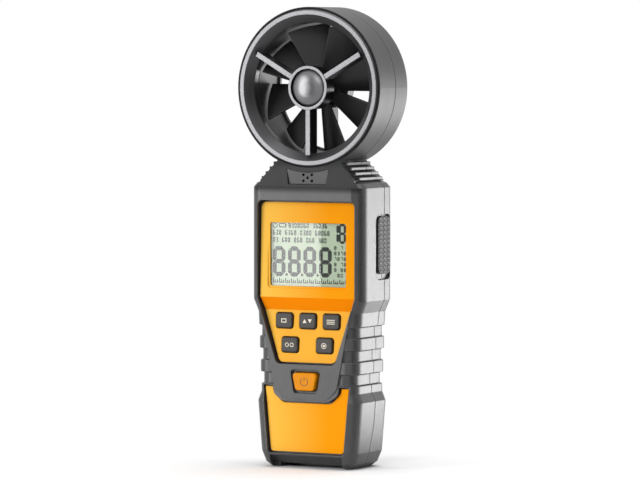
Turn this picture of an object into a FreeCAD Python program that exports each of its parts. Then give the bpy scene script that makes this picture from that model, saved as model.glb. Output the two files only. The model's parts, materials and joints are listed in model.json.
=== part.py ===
"""Handheld vane anemometer: a vane ring on a neck above a ribbed two-shell body.

Frame: millimetres, +Z up, the display faces -Y, +X is to the right seen from the front.
The origin is centred under the feet. The meter stands on its feet at Z = 0.
"""
import FreeCAD, Part
import math
import os
import re

import Sketcher

Vector = FreeCAD.Vector

# Driving dimensions: name, value, what it is.
SIZES = (
    # body outline, half-widths by height
    ("foot_half_width", 19.6, "half-width of the underside"),
    ("foot_half_depth", 12.8, "half-depth of the underside"),
    ("foot_round_z", 2.2, "middle of the rounded bottom corner"),
    ("foot_round_half_width", 22.2, "half-width there"),
    ("base_z", 7.0, "top of the rounded bottom corner"),
    ("base_half_width", 23.9, "half-width there"),
    ("flare_rise", 4.0, "height of the slope above the flare"),
    ("flare_z", 29.0, "widest level of the lower body"),
    ("flare_half_width", 25.7, "half-width there"),
    ("rib_top_z", 57.0, "top of the highest side rib"),
    ("rib_pitch", 10.35, "spacing of the side ribs"),
    ("rib_height", 5.0, "height of a side rib"),
    ("rib_half_width", 25.1, "half-width at the highest side rib"),
    ("rib_taper", 0.45, "loss of half-width from one rib to the next"),
    ("groove_half_width", 24.3, "half-width between collar and highest rib"),
    ("groove_taper", 0.5, "loss of half-width from one groove to the next"),
    ("ledge_height", 0.5, "height of the slope between rib and groove"),
    ("collar_z", 62.2, "underside of the collar above the ribs"),
    ("collar_half_width", 25.4, "half-width there"),
    ("collar_top_z", 68.0, "top of the collar"),
    ("collar_top_half_width", 25.7, "half-width there"),
    ("chest_z", 73.4, "lower end of the wide upper body"),
    ("body_half_width", 27.9, "half-width of the upper body"),
    ("shoulder_z", 122.5, "edge of the shoulders"),
    ("shoulder_mid_z", 124.4, "middle of the rounded shoulder"),
    ("shoulder_mid_inset", 1.7, "inset from the upper body there"),
    ("shoulder_top_z", 125.6, "top of the shoulders"),
    ("shoulder_top_inset", 4.7, "inset from the upper body there"),
    ("body_half_depth", 15.3, "half-depth of the body"),
    ("waist_half_depth", 14.9, "half-depth of the ribs beside the raised shield"),
    ("groove_sink", 0.6, "how much shallower the body is in its grooves"),
    ("corner_radius", 5.5, "radius of the long body corners"),
    # neck and ring
    ("ring_low_z", 130.66, "lowest point of the ring"),
    ("ring_radius", 35.2, "outer radius of the ring"),
    ("ring_wall", 2.0, "wall of the ring"),
    ("ring_front_y", 12.3, "front face of the ring, in front of the middle"),
    ("ring_rear_y", 13.25, "rear face of the ring, behind the middle"),
    ("duct_inset", 6.7, "from the ring's outside in to the bore that the air passes"),
    ("duct_wall", 1.6, "wall around the air duct"),
    ("duct_split_y", 5.85, "joint in the duct wall, in front of the middle"),
    ("neck_half_width", 15.3, "half-width of the neck at the ring"),
    ("neck_top_z", 134.1, "where the neck meets the ring"),
    ("neck_half_depth", 14.2, "half-depth of the neck at the shoulders"),
    ("neck_top_half_depth", 12.6, "half-depth of the neck at the ring"),
    ("fin_height", 1.15, "height of a fin on the neck flank"),
    ("fin_pitch", 2.15, "spacing of the fins"),
    ("fin_stand", 1.5, "how far a fin stands out"),
    ("fin_half_depth", 11.4, "half-depth of the fins"),
    # shells
    ("shell_wall", 2.0, "wall of the shells"),
    ("front_wall_y", 9.5, "inner side of the front wall, in front of the middle"),
    ("cavity_half_width", 21.0, "half-width of the space in the lower body"),
    ("cavity_low_z", 3.2, "floor of the space inside"),
    ("cavity_step_z", 75.5, "where the space inside widens"),
    ("chest_wall", 2.3, "side wall of the upper body"),
    ("cavity_top_z", 120.3, "top of the space inside"),
    ("cavity_round", 3.5, "corner radius of the space inside"),
    ("channel_half_width", 8.5, "half-width of the passage through the neck"),
    ("channel_half_depth", 7.5, "half-depth of the passage through the neck"),
    ("seam", 0.3, "gap between the two shells"),
    ("split_y", 5.65, "shell joint behind the middle, upper body"),
    ("split_drop", 1.55, "forward slope of the joint under the chest"),
    ("split_jog", 1.1, "forward step of the joint at each groove"),
    ("split_flare_y", 1.6, "shell joint behind the middle at the flare"),
    ("split_foot_y", 1.2, "shell joint in front of the middle at the feet"),
    ("split_ring_y", 2.2, "shell joint behind the middle, ring"),
    ("seat_gap", 0.1, "gap between pieces that are laid together"),
    # orange panels
    ("panel_seat_y", 11.2, "floor under the upper panel, in front of the middle"),
    ("panel_top_z", 116.0, "upper edge of the upper panel"),
    ("panel_inset", 4.6, "from the body's flank in to the upper panel"),
    ("panel_shoulder_z", 74.4, "where the upper panel begins to narrow"),
    ("panel_low_z", 46.1, "lower edge of the upper panel"),
    ("panel_low_half_width", 13.7, "half-width at the lower edge"),
    ("panel_round", 2.6, "corner radius of the panels"),
    ("panel_gap", 0.75, "gap around the panels"),
    ("panel_top_y", 12.45, "panel face at its upper edge"),
    ("panel_brow_y", 13.65, "panel face above the sloping band"),
    ("keypad_z", 68.9, "lower end of the sloping band"),
    ("keypad_top_y", 12.25, "panel face under the band"),
    ("keypad_low_y", 13.6, "panel face at its lower edge"),
    ("apron_seat_y", 12.2, "floor under the lower panel"),
    ("apron_y", 13.6, "face of the lower panel"),
    ("apron_low_z", 6.9, "lower edge of the lower panel"),
    ("apron_low_half_width", 18.0, "half-width at the lower edge"),
    ("apron_top_z", 35.2, "tips of the lower panel"),
    ("apron_top_half_width", 20.6, "half-width at the tips"),
    # shield around keypad and power key
    ("shield_top_z", 69.5, "upper end of the shield's edge"),
    ("shield_top_half_width", 22.4, "half-width there"),
    ("shield_mid_z", 34.6, "where the shield's bottom corner begins"),
    ("shield_mid_half_width", 15.4, "half-width there"),
    ("shield_low_z", 29.9, "bottom of the shield"),
    ("shield_low_half_width", 10.6, "half-width there"),
    ("shield_round", 4.2, "rounding of the shield's bottom corners"),
    ("shield_rake", 0.2, "widening of the shield per millimetre of height"),
    # display
    ("window_z", 93.15, "centre of the display window"),
    ("window_half_width", 18.8, "half-width of the window"),
    ("window_half_height", 13.85, "half-height of the window"),
    ("window_round", 0.9, "corner radius of the window"),
    ("frame_width", 0.9, "width of the sunk frame around the window"),
    ("frame_depth", 0.7, "depth of the sunk frame at the window's foot"),
    ("lens_lap", 1.5, "how far the lens reaches under the panel"),
    ("lens_front_y", 12.2, "face of the lens"),
    ("glass_thick", 2.0, "thickness of the display glass"),
    ("board_thick", 1.6, "thickness of the circuit boards"),
    ("strip_thick", 1.5, "thickness of the contact strip"),
    # keys
    ("key_width", 8.3, "width of a key"),
    ("key_height", 6.6, "height of a key"),
    ("key_round", 1.5, "corner radius of a key"),
    ("key_edge", 0.6, "rounding of a key's face"),
    ("key_gap", 0.35, "gap around a key"),
    ("key_stand", 1.0, "how far a key stands out of the panel"),
    ("key_lap", 0.8, "width of the flange behind the panel"),
    ("flange_thick", 0.6, "thickness of a key's flange"),
    ("upper_key_z", 64.2, "height of the upper row of keys"),
    ("upper_key_x", 11.64, "spacing of the upper row"),
    ("lower_key_z", 53.7, "height of the lower row of keys"),
    ("lower_key_x", 8.56, "half the spacing of the lower row"),
    ("power_z", 37.9, "centre of the power key"),
    ("power_half_height", 3.85, "half-height of the power key"),
    ("power_top_half_width", 6.2, "half-width of its upper edge"),
    ("power_low_half_width", 4.5, "half-width of its lower edge"),
    ("power_front_y", 16.4, "face of the power key"),
    ("moat_width", 1.3, "width of the ring around the power key"),
    ("moat_depth", 1.5, "depth of that ring"),
    # boards and small parts inside
    ("mat_thick", 1.0, "thickness of the rubber key mat"),
    ("link_gap", 5.5, "gap between the boards"),
    ("board_crown", 2.5, "how far the main board reaches over the display"),
    ("board_margin", 1.0, "gap beside the main board"),
    ("board_front_y", 6.8, "front of the main board"),
    ("post_inset", 5.0, "from the body's flank in to the board posts"),
    ("post_lift", 1.15, "from the window's edge to the board posts"),
    ("post_radius", 1.4, "radius of a board post"),
    ("board_screw_radius", 0.8, "radius of a board screw"),
    ("board_head_radius", 1.5, "head radius of a board screw"),
    ("board_head_thick", 0.9, "head thickness of a board screw"),
    ("link_half_width", 8.0, "half-width of the link between the boards"),
    ("link_lap", 4.0, "how far the link lies on the key board"),
    ("chip_half", 5.0, "half-width of the processor"),
    ("buzzer_x", 13.0, "side offset of the buzzer"),
    ("buzzer_drop", 8.0, "how far the buzzer lies under the window's centre"),
    ("pickup_half", 2.2, "half-width of the pickup"),
    ("pickup_thick", 1.2, "thickness of the pickup"),
    ("sensor_half", 1.6, "half-width of the air sensor"),
    ("chip_thick", 1.6, "thickness of a chip"),
    ("buzzer_radius", 5.0, "radius of the buzzer"),
    ("buzzer_height", 3.2, "height of the buzzer"),
    # vane
    ("vane_hub_radius", 6.4, "radius of the vane's hub"),
    ("vane_half_depth", 5.4, "half-depth of the vane's hub"),
    ("vane_gap", 0.9, "gap between the blade tips and the bore"),
    ("blade_count", 8, "number of blades"),
    ("blade_pitch", 34.0, "blade angle in degrees"),
    ("blade_root_chord", 6.2, "blade chord at the hub"),
    ("blade_tip_chord", 20.6, "blade chord at the tip"),
    ("blade_thick", 0.8, "thickness of a blade"),
    ("vane_turn", -14.0, "how far the vane stands turned at rest, in degrees"),
    ("shaft_radius", 0.8, "radius of the steel shaft"),
    ("running_gap", 0.05, "radial clearance of the shaft"),
    ("bearing_radius", 2.0, "radius of a bearing"),
    ("bearing_depth", 2.2, "length of a bearing"),
    ("magnet_radius", 3.6, "radius of the magnet"),
    ("magnet_thick", 1.5, "thickness of the magnet"),
    # guards
    ("rim_inset", 1.06, "from the ring's outside in to the front rim"),
    ("rim_front_y", 13.25, "face of the front rim"),
    ("rim_band", 2.24, "width of the bright band on the rim"),
    ("rim_spigot", 1.2, "depth of the rim's spigot in the ring"),
    ("shadow_width", 0.5, "width of the shadow groove round the rim"),
    ("shadow_depth", 0.8, "depth of the shadow groove"),
    ("throat_y", 9.6, "where the inlet bevel meets the duct"),
    ("guard_hub_radius", 9.56, "radius of the guard's hub"),
    ("guard_hub_wall", 1.25, "wall of the hub cup"),
    ("guard_rear_y", 6.5, "rear of the front spokes"),
    ("hub_floor", 2.3, "floor of the hub cup"),
    ("boss_wall", 1.0, "wall around a bearing"),
    ("spoke_width", 2.2, "width of a spoke"),
    ("spoke_sink", 0.25, "how far a spoke lies behind the rim's face"),
    ("spoke_count", 3, "number of spokes"),
    ("dome_radius", 8.05, "radius of the hub cap"),
    ("dome_height", 2.8, "height of the hub cap's dome"),
    ("dome_skirt", 2.8, "height of the hub cap's skirt"),
    ("rear_guard_y", 7.6, "front of the rear spokes"),
    ("rear_hub_radius", 9.0, "radius of the rear hub"),
    ("rear_rim_thick", 1.5, "thickness of the rear guard's rim"),
    # sensor vent in the neck
    ("vent_low_z", 124.0, "lower edge of the vent"),
    ("vent_top_z", 130.6, "upper corners of the vent"),
    ("vent_low_half_width", 9.2, "half-width of its lower edge"),
    ("vent_top_half_width", 10.3, "half-width of its upper edge"),
    ("vent_thick", 1.4, "thickness of the vent plate"),
    ("vent_seat_y", 11.7, "floor behind the vent plate"),
    ("vent_hole_radius", 0.6, "radius of a vent hole"),
    ("vent_hole_z", 126.7, "centre of the vent holes"),
    ("vent_hole_x", 2.1, "side offset of the vent holes"),
    ("vent_hole_rise", 1.35, "height offset of the vent holes"),
    ("vent_dip", 3.0, "drop of the vent's hollow upper edge to its middle"),
    # side grips
    ("grip_low_z", 82.3, "lower end of a grip recess"),
    ("grip_top_z", 110.8, "upper end of a grip recess"),
    ("grip_front_y", 2.25, "front edge of a recess, in front of the middle"),
    ("grip_rear_y", 11.8, "rear edge of a recess, behind the middle"),
    ("grip_recess", 1.3, "depth of a recess"),
    ("grip_round", 3.4, "end radius of a recess"),
    ("grip_gap_front", 2.6, "gap in front of a grip pad"),
    ("grip_gap_low", 2.4, "gap under a grip pad"),
    ("grip_gap", 0.3, "gap on the other sides of a grip pad"),
    # battery and its cover
    ("battery_width", 26.5, "width of the battery"),
    ("battery_depth", 17.5, "depth of the battery"),
    ("battery_height", 46.0, "height of the battery without its snaps"),
    ("battery_low_z", 13.0, "underside of the battery"),
    ("battery_rear_y", 12.4, "rear face of the battery"),
    ("battery_round", 2.0, "corner radius of the battery"),
    ("battery_gap", 0.35, "gap around the battery"),
    ("bay_wall", 1.1, "front wall of the battery bay"),
    ("bay_side", 1.7, "side walls of the battery bay"),
    ("snap_height", 2.4, "height of the battery snaps"),
    ("snap_radius", 2.9, "radius of the small snap"),
    ("snap_spacing", 12.7, "spacing of the two snaps"),
    ("cover_half_width", 15.0, "half-width of the battery cover"),
    ("cover_low_z", 6.0, "lower edge of the battery cover"),
    ("cover_top_z", 66.0, "upper edge of the battery cover"),
    ("cover_thick", 2.0, "thickness of the battery cover"),
    ("cover_gap", 0.35, "gap around the battery cover"),
    ("cover_round", 2.5, "corner radius of the battery cover"),
    ("tongue_width", 6.0, "width of a cover tongue"),
    ("tongue_x", 9.0, "side offset of a cover tongue"),
    ("tongue_reach", 1.6, "how far a tongue hooks behind the edge"),
    ("tongue_thick", 0.8, "thickness of a tongue"),
    ("pad_thick", 0.6, "thickness of the foam pad"),
    ("grip_rib_count", 5, "grip ribs on the battery cover"),
    ("grip_rib_pitch", 2.6, "spacing of those ribs"),
    # screws and threads
    ("boss_radius", 2.7, "radius of a screw boss"),
    ("screw_radius", 1.4, "radius of a shell screw"),
    ("screw_gap", 0.1, "gap around a screw"),
    ("head_radius", 2.4, "radius of a screw head"),
    ("head_thick", 1.6, "thickness of a screw head"),
    ("head_sink", 3.0, "depth of a screw head under the back"),
    ("low_screw_x", 18.2, "side offset of the lower screws"),
    ("low_screw_z", 12.0, "height of the lower screws"),
    ("screw_inset", 6.3, "from the body's flank in to the upper screws"),
    ("high_screw_z", 115.6, "height of the upper screws"),
    ("screw_reach", 4.0, "length of thread in the front shell"),
    ("cover_screw_z", 9.4, "height of the cover screw"),
    ("tripod_z", 76.5, "height of the tripod bush"),
    ("tripod_radius", 3.175, "bore radius of the tripod bush"),
    ("tripod_wall", 1.6, "wall of the tripod bush"),
    ("tripod_length", 7.0, "length of the tripod bush"),
    # feet
    ("notch_half_width", 15.6, "half-width of the notch between the feet"),
    ("notch_height", 1.6, "height of that notch"),
    ("chin_z", 5.4, "top of the bevel under the lower panel"),
    ("chin_depth", 4.2, "depth of that bevel at its foot"),
)

# Sizes that follow from the driving dimensions.
DERIVED = {
    "shoulder_mid_half_width": "body_half_width - shoulder_mid_inset",
    "shoulder_top_half_width": "body_half_width - shoulder_top_inset",
    "chest_cavity_half_width": "body_half_width - chest_wall",
    "panel_half_width": "body_half_width - panel_inset",
    "high_screw_x": "body_half_width - screw_inset",
    "ring_z": "ring_low_z + ring_radius",
    "duct_radius": "ring_radius - duct_inset",
    "vane_radius": "ring_radius - duct_inset - vane_gap",
    "rim_radius": "ring_radius - rim_inset",
    "rim_inner_radius": "ring_radius - rim_inset - rim_band",
    "rear_rim_radius": "ring_radius - duct_inset + duct_wall + seam",
    "post_x": "body_half_width - post_inset",
    "post_rise": "window_half_height + post_lift",
    "main_board_half_width": "body_half_width - chest_wall - board_margin",
    "main_board_low_z": "window_z - window_half_height - lens_lap - board_margin - seam",
    "main_board_top_z": "window_z + window_half_height + lens_lap + board_crown",
    "key_board_half_width": "upper_key_x + key_width / 2 + key_lap + key_gap",
    "key_board_low_z": "power_z - power_half_height - key_lap - 2 * key_gap",
    "key_board_top_z": "main_board_low_z - link_gap",
}

doc = FreeCAD.newDocument("Anemometer")
sheet = doc.addObject("Spreadsheet::Sheet", "Sizes")
for row, (alias, number, meaning) in enumerate(SIZES, 1):
    sheet.set(f"A{row}", meaning)
    sheet.set(f"B{row}", str(number))
    sheet.setAlias(f"B{row}", alias)
doc.recompute()
ALIASES = {alias for alias, number, meaning in SIZES}


def expand(text):
    """Turn the plain size names of an expression into references to the sheet."""
    def refer(match):
        word = match.group(0)
        if word in DERIVED:
            return f"({expand(DERIVED[word])})"
        return f"Sizes.{word}" if word in ALIASES else word
    return re.sub(r"[a-z][a-z_]*", refer, str(text))


def value(text):
    """Number that an expression of size names comes to."""
    return float(sheet.evalExpression(expand(text)))


def bind(item, path, text):
    """Bind a property of a document object to an expression of size names."""
    item.setExpression(path, expand(text))


# ---------------------------------------------------------------- sketches

def pin_point(rules, bindings, index, end, corner):
    """Hold one end of a sketch line at the two expressions of a corner."""
    for kind, text in (("DistanceX", corner[0]), ("DistanceY", corner[1])):
        bindings.append((len(rules), text))
        rules.append(Sketcher.Constraint(kind, -1, 1, index, end, value(text)))


def outline(sketch, corners):
    """Closed outline through corners (x, y) or (x, y, radius), each an expression."""
    count = len(corners)
    first = sketch.GeometryCount
    points = [Vector(value(corner[0]), value(corner[1]), 0) for corner in corners]
    sharp = all(len(corner) == 2 for corner in corners)
    frame = [Part.LineSegment(points[i], points[(i + 1) % count]) for i in range(count)]
    sketch.addGeometry(frame, not sharp)
    rules = []
    bindings = []
    for i in range(count):
        after = first + (i + 1) % count
        rules.append(Sketcher.Constraint("Coincident", first + i, 2, after, 1))
        pin_point(rules, bindings, first + i, 1, corners[i])
    if not sharp:
        round_corners(sketch, first, corners, points, rules, bindings)
    offset = sketch.ConstraintCount
    sketch.addConstraint(rules)
    for index, text in bindings:
        bind(sketch, f"Constraints[{offset + index}]", text)


def round_corners(sketch, first, corners, points, rules, bindings):
    """Lay lines and tangent arcs along a sharp construction frame."""
    count = len(corners)
    arcs = {}
    for i in range(count):
        if len(corners[i]) == 2:
            continue
        back = (points[i - 1] - points[i]).normalize()
        ahead = (points[(i + 1) % count] - points[i]).normalize()
        radius = value(corners[i][2])
        half = back.getAngle(ahead) / 2
        reach = radius / math.tan(half)
        centre = points[i] + (back + ahead).normalize() * (radius / math.sin(half))
        middle = centre + (points[i] - centre).normalize() * radius
        arcs[i] = (points[i] + back * reach, middle, points[i] + ahead * reach)
    for i in range(count):
        after = (i + 1) % count
        start = arcs[i][2] if i in arcs else points[i]
        end = arcs[after][0] if after in arcs else points[after]
        sketch.addGeometry(Part.LineSegment(start, end), False)
    for i in range(count):
        frame = first + i
        frame_before = first + (i - 1) % count
        line = frame + count
        before = frame_before + count
        if i not in arcs:
            rules.append(Sketcher.Constraint("Coincident", before, 2, line, 1))
            rules.append(Sketcher.Constraint("Coincident", frame, 1, line, 1))
            continue
        arc = sketch.addGeometry(Part.Arc(*arcs[i]), False)
        forward = (sketch.getPoint(arc, 1) - arcs[i][0]).Length < 0.001
        rules.append(Sketcher.Constraint("Tangent", before, 2, arc, 1 if forward else 2))
        rules.append(Sketcher.Constraint("Tangent", line, 1, arc, 2 if forward else 1))
        rules.append(Sketcher.Constraint("PointOnObject", before, 2, frame_before))
        rules.append(Sketcher.Constraint("PointOnObject", line, 1, frame))
        bindings.append((len(rules), corners[i][2]))
        rules.append(Sketcher.Constraint("Radius", arc, value(corners[i][2])))


def circle(sketch, x, y, radius):
    """Circle with its centre and radius bound to expressions."""
    centre = Vector(value(x), value(y), 0)
    index = sketch.addGeometry(Part.Circle(centre, Vector(0, 0, 1), value(radius)), False)
    for kind, text in (("DistanceX", x), ("DistanceY", y)):
        rule = sketch.addConstraint(Sketcher.Constraint(kind, -1, 1, index, 3, value(text)))
        bind(sketch, f"Constraints[{rule}]", text)
    rule = sketch.addConstraint(Sketcher.Constraint("Radius", index, value(radius)))
    bind(sketch, f"Constraints[{rule}]", radius)


def rectangle(x_low, x_high, y_low, y_high, radius=None):
    """Corners of a rectangle, all rounded when a radius is given."""
    corners = [(x_low, y_low), (x_high, y_low), (x_high, y_high), (x_low, y_high)]
    return [corner + (radius,) for corner in corners] if radius else corners


def both_sides(right):
    """Whole outline from its right-hand corners, listed from bottom to top."""
    left = [(f"-({corner[0]})",) + tuple(corner[1:]) for corner in reversed(right)]
    return list(right) + left


class Piece:
    """A PartDesign body; its sketches lie on its own origin planes.

    Plane XY looks along +Z, XZ along -Y and YZ along +X. low and high are the two ends
    of a feature along +Z, +Y or +X.
    """

    def __init__(self, label):
        self.body = doc.addObject("PartDesign::Body", label)
        self.body.Label = label
        self.planes = {item.Role: item for item in self.body.Origin.OriginFeatures}
        self.made = 0

    def name(self, kind):
        self.made += 1
        return f"{self.body.Name}_{kind}{self.made}"

    def sketch(self, plane, level, draw):
        """Sketch on a plane moved to a level along the plane's own world axis."""
        sketch = self.body.newObject("Sketcher::SketchObject", self.name("sketch"))
        sketch.AttachmentSupport = [(self.planes[plane + "_Plane"], "")]
        sketch.MapMode = "FlatFace"
        side = "-1 * " if plane == "XZ" else ""
        bind(sketch, "AttachmentOffset.Base.z", f"{side}({level})")
        for shape in draw if isinstance(draw, list) and isinstance(draw[0], list) else [draw]:
            if len(shape) == 3 and isinstance(shape[0], str):
                circle(sketch, *shape)
            else:
                outline(sketch, shape)
        return sketch

    def pad(self, plane, low, high, draw):
        """Material between two levels."""
        start = high if plane == "XZ" else low
        feature = self.body.newObject("PartDesign::Pad", self.name("pad"))
        feature.Refine = False
        feature.Profile = self.sketch(plane, start, draw)
        bind(feature, "Length", f"({high}) - ({low})")
        self.body.Tip = feature
        return feature

    def pocket(self, plane, low, high, draw):
        """Space cut between two levels."""
        start = low if plane == "XZ" else high
        feature = self.body.newObject("PartDesign::Pocket", self.name("pocket"))
        feature.Refine = False
        feature.Profile = self.sketch(plane, start, draw)
        bind(feature, "Length", f"({high}) - ({low})")
        self.body.Tip = feature
        return feature

    def turn(self, kind, level, draw):
        """Revolution or Groove about a line along Y; corners are (radius, y)."""
        feature = self.body.newObject(f"PartDesign::{kind}", self.name(kind.lower()))
        profile = self.sketch("XY", level, draw)
        feature.Refine = False
        feature.Profile = profile
        feature.ReferenceAxis = (profile, ["V_Axis"])
        feature.Angle = 360
        self.body.Tip = feature
        return feature

    def loft(self, kind, sections):
        """Ruled loft through level rounded rectangles (z, half-width, half-depth, radius)."""
        rings = []
        for level, wide, deep, radius in sections:
            corners = rectangle(f"-({wide})", wide, f"-({deep})", deep, radius)
            rings.append(self.sketch("XY", level, corners))
        feature = self.body.newObject(f"PartDesign::{kind}Loft", self.name("loft"))
        feature.Profile = rings[0]
        feature.Sections = rings[1:]
        feature.Ruled = True
        feature.Refine = False
        self.body.Tip = feature
        return feature

    def edges(self, wanted):
        """Names of the edges that a test on the edge accepts."""
        doc.recompute()
        found = self.body.Tip.Shape.Edges
        return [f"Edge{i}" for i, edge in enumerate(found, 1) if wanted(edge)]

    def dress(self, kind, size, wanted):
        """Fillet or Chamfer on the edges that a test accepts."""
        names = self.edges(wanted)
        base = self.body.Tip
        feature = self.body.newObject(f"PartDesign::{kind}", self.name(kind.lower()))
        feature.Base = (base, names)
        bind(feature, "Radius" if kind == "Fillet" else "Size", size)
        self.body.Tip = feature
        return feature

    def repeat(self, features, axis, count):
        """Polar pattern of features about one of the body's origin axes."""
        pattern = self.body.newObject("PartDesign::PolarPattern", self.name("pattern"))
        pattern.Originals = features
        pattern.Axis = (self.planes[axis + "_Axis"], [""])
        pattern.Angle = 360
        bind(pattern, "Occurrences", count)
        self.body.Tip = pattern
        return pattern

    def move(self, x="0", y="0", z="0"):
        """Place the finished body."""
        for axis, text in (("x", x), ("y", y), ("z", z)):
            bind(self.body, f"Placement.Base.{axis}", text)


def lies_at(edge, axis, level):
    """True for an edge that lies whole in one level of a world axis."""
    box = edge.BoundBox
    low = getattr(box, f"{axis.upper()}Min")
    high = getattr(box, f"{axis.upper()}Max")
    return abs(low - level) < 0.01 and abs(high - level) < 0.01


# ------------------------------------------------------- primitives and groups

def block(name, x_low, x_high, y_low, y_high, z_low, z_high):
    """Box between two corners."""
    item = doc.addObject("Part::Box", name)
    spans = ((x_low, x_high, "x", "Length"), (y_low, y_high, "y", "Width"),
             (z_low, z_high, "z", "Height"))
    for low, high, axis, side in spans:
        bind(item, f"Placement.Base.{axis}", low)
        bind(item, side, f"({high}) - ({low})")
    return item


TURNS = {"x": FreeCAD.Rotation(Vector(0, 1, 0), 90),
         "y": FreeCAD.Rotation(Vector(1, 0, 0), -90),
         "z": FreeCAD.Rotation()}


def rod(name, axis, x, y, z, radius, length):
    """Cylinder from a point along a world axis."""
    item = doc.addObject("Part::Cylinder", name)
    item.Placement = FreeCAD.Placement(Vector(), TURNS[axis])
    bind(item, "Placement.Base.x", x)
    bind(item, "Placement.Base.y", y)
    bind(item, "Placement.Base.z", z)
    bind(item, "Radius", radius)
    bind(item, "Height", length)
    return item


def fuse(name, parts):
    """One shape made of several; apart they stay separate solids."""
    item = doc.addObject("Part::MultiFuse", name)
    item.Shapes = parts
    item.Label = name
    return item


# ---------------------------------------------------------------- shells

def body_sections():
    """Level sections of the body from the underside up to the shoulders."""
    deep = "body_half_depth"
    middle_depth = "(foot_half_depth + 2 * body_half_depth) / 3"
    sections = [("0", "foot_half_width", "foot_half_depth", "corner_radius - groove_sink"),
                ("foot_round_z", "foot_round_half_width", middle_depth, "corner_radius"),
                ("base_z", "base_half_width", deep, "corner_radius"),
                ("flare_z", "flare_half_width", deep, "corner_radius")]
    for rib in (2, 1, 0):
        top = f"rib_top_z - {rib} * rib_pitch"
        low = "flare_z + flare_rise" if rib == 2 else f"{top} - rib_height"
        wide = f"rib_half_width - {rib} * rib_taper"
        narrow = f"groove_half_width - {rib} * groove_taper"
        end = f"{top} + rib_pitch - rib_height" if rib else "collar_z"
        sections += [(low, wide, "waist_half_depth", "corner_radius"),
                     (top, wide, "waist_half_depth", "corner_radius"),
                     (f"{top} + ledge_height", narrow, "waist_half_depth - groove_sink",
                      "corner_radius"),
                     (f"{end} - ledge_height", narrow, "waist_half_depth - groove_sink",
                      "corner_radius")]
    sections += [("collar_z", "collar_half_width", "waist_half_depth", "corner_radius"),
                 ("collar_top_z", "collar_top_half_width", "waist_half_depth",
                  "corner_radius"),
                 ("chest_z", "body_half_width", deep, "corner_radius"),
                 ("shoulder_z", "body_half_width", deep, "corner_radius"),
                 ("shoulder_mid_z", "shoulder_mid_half_width", f"{deep} - groove_sink",
                  "corner_radius - groove_sink"),
                 ("shoulder_top_z", "shoulder_top_half_width", "neck_top_half_depth",
                  "corner_radius - 3 * groove_sink")]
    return sections


def outer_form(shell, ring_low, ring_high):
    """Solid form shared by both shells: body, neck with fins, and ring."""
    shell.loft("Additive", body_sections())
    flank = [("shoulder_top_half_width", "shoulder_z - shell_wall"),
             ("shoulder_top_half_width", "shoulder_top_z"),
             ("neck_half_width", "neck_top_z"),
             ("neck_half_width", "neck_top_z + shell_wall")]
    shell.pad("XZ", "-neck_half_depth", "neck_half_depth", both_sides(flank))
    slopes = [[(f"{side} * neck_half_depth", "shoulder_z"),
               (f"{side} * neck_top_half_depth", "neck_top_z"),
               (f"{side} * neck_top_half_depth", "neck_top_z + 2 * shell_wall"),
               (f"{side} * (neck_half_depth + shell_wall)", "neck_top_z + 2 * shell_wall"),
               (f"{side} * (neck_half_depth + shell_wall)", "shoulder_z")]
              for side in (-1, 1)]
    shell.pocket("YZ", "-body_half_width", "body_half_width", slopes)
    narrowing = "(shoulder_top_half_width - neck_half_width) / (neck_top_z - shoulder_top_z)"
    for fin in range(4):
        rise = f"({fin} + 0.15) * fin_pitch"
        wide = f"shoulder_top_half_width - {rise} * {narrowing} + fin_stand"
        level = f"shoulder_top_z + {rise}"
        corners = rectangle(f"-({wide})", wide, "-fin_half_depth", "fin_half_depth",
                            "fin_height")
        shell.pad("XY", level, f"{level} + fin_height", corners)
    shell.turn("Revolution", "ring_z", rectangle("0", "ring_radius", ring_low, ring_high))


def hollow_body(shell):
    """Space for boards and battery, and the passage up through the neck."""
    lower = rectangle("-cavity_half_width", "cavity_half_width", "-front_wall_y",
                      "waist_half_depth - groove_sink - shell_wall", "cavity_round")
    upper = rectangle("-chest_cavity_half_width", "chest_cavity_half_width",
                      "-front_wall_y", "body_half_depth - shell_wall", "cavity_round")
    channel = rectangle("-channel_half_width", "channel_half_width",
                        "-channel_half_depth", "channel_half_depth", "cavity_round")
    shell.pocket("XY", "cavity_low_z", "cavity_step_z", lower)
    shell.pocket("XY", "cavity_step_z - seat_gap", "cavity_top_z", upper)
    shell.pocket("XY", "cavity_top_z - shell_wall", "ring_z - ring_radius + 2 * ring_wall",
                 channel)


def split_line():
    """Joint between the shells as (y, z) corners, from the top down."""
    top = "ring_z + ring_radius + shell_wall"
    line = [("split_ring_y", top), ("split_ring_y", "neck_top_z"),
            ("split_y", "shoulder_z"), ("split_y", "chest_z"),
            ("split_y - split_drop", "collar_z")]
    level = "collar_z"
    for step in (1, 2, 3):
        behind = f"split_y - split_drop - {step} * split_jog"
        line.append((behind, level))
        level = f"rib_top_z - rib_height - {step - 1} * rib_pitch"
        if step < 3:
            line.append((behind, level))
    line += [("split_y - split_drop - 3 * split_jog", "flare_z + flare_rise"),
             ("split_flare_y", "flare_z"), ("split_flare_y", "(flare_z + base_z) / 2"),
             ("-split_foot_y", "base_z"), ("-split_foot_y", "-shell_wall")]
    return line


def keep_side(shell, side):
    """Cut away all that lies beyond the joint: side 1 cuts the rear, -1 the front."""
    shift = f"- {side} * seam / 2"
    line = [(f"{y} {shift}", z) for y, z in split_line()]
    far = f"{side} * 3 * body_half_depth"
    corners = line + [(far, line[-1][1]), (far, line[0][1])]
    shell.pocket("YZ", "-2 * body_half_width", "2 * body_half_width", corners)


SCREW_SPOTS = [(f"{side} * {x}", z) for x, z in
               (("low_screw_x", "low_screw_z"), ("high_screw_x", "high_screw_z"))
               for side in (-1, 1)]


def discs(spots, radius):
    """Circles of one radius on several spots, for one sketch."""
    return [[x, z, radius] for x, z in spots]


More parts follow.
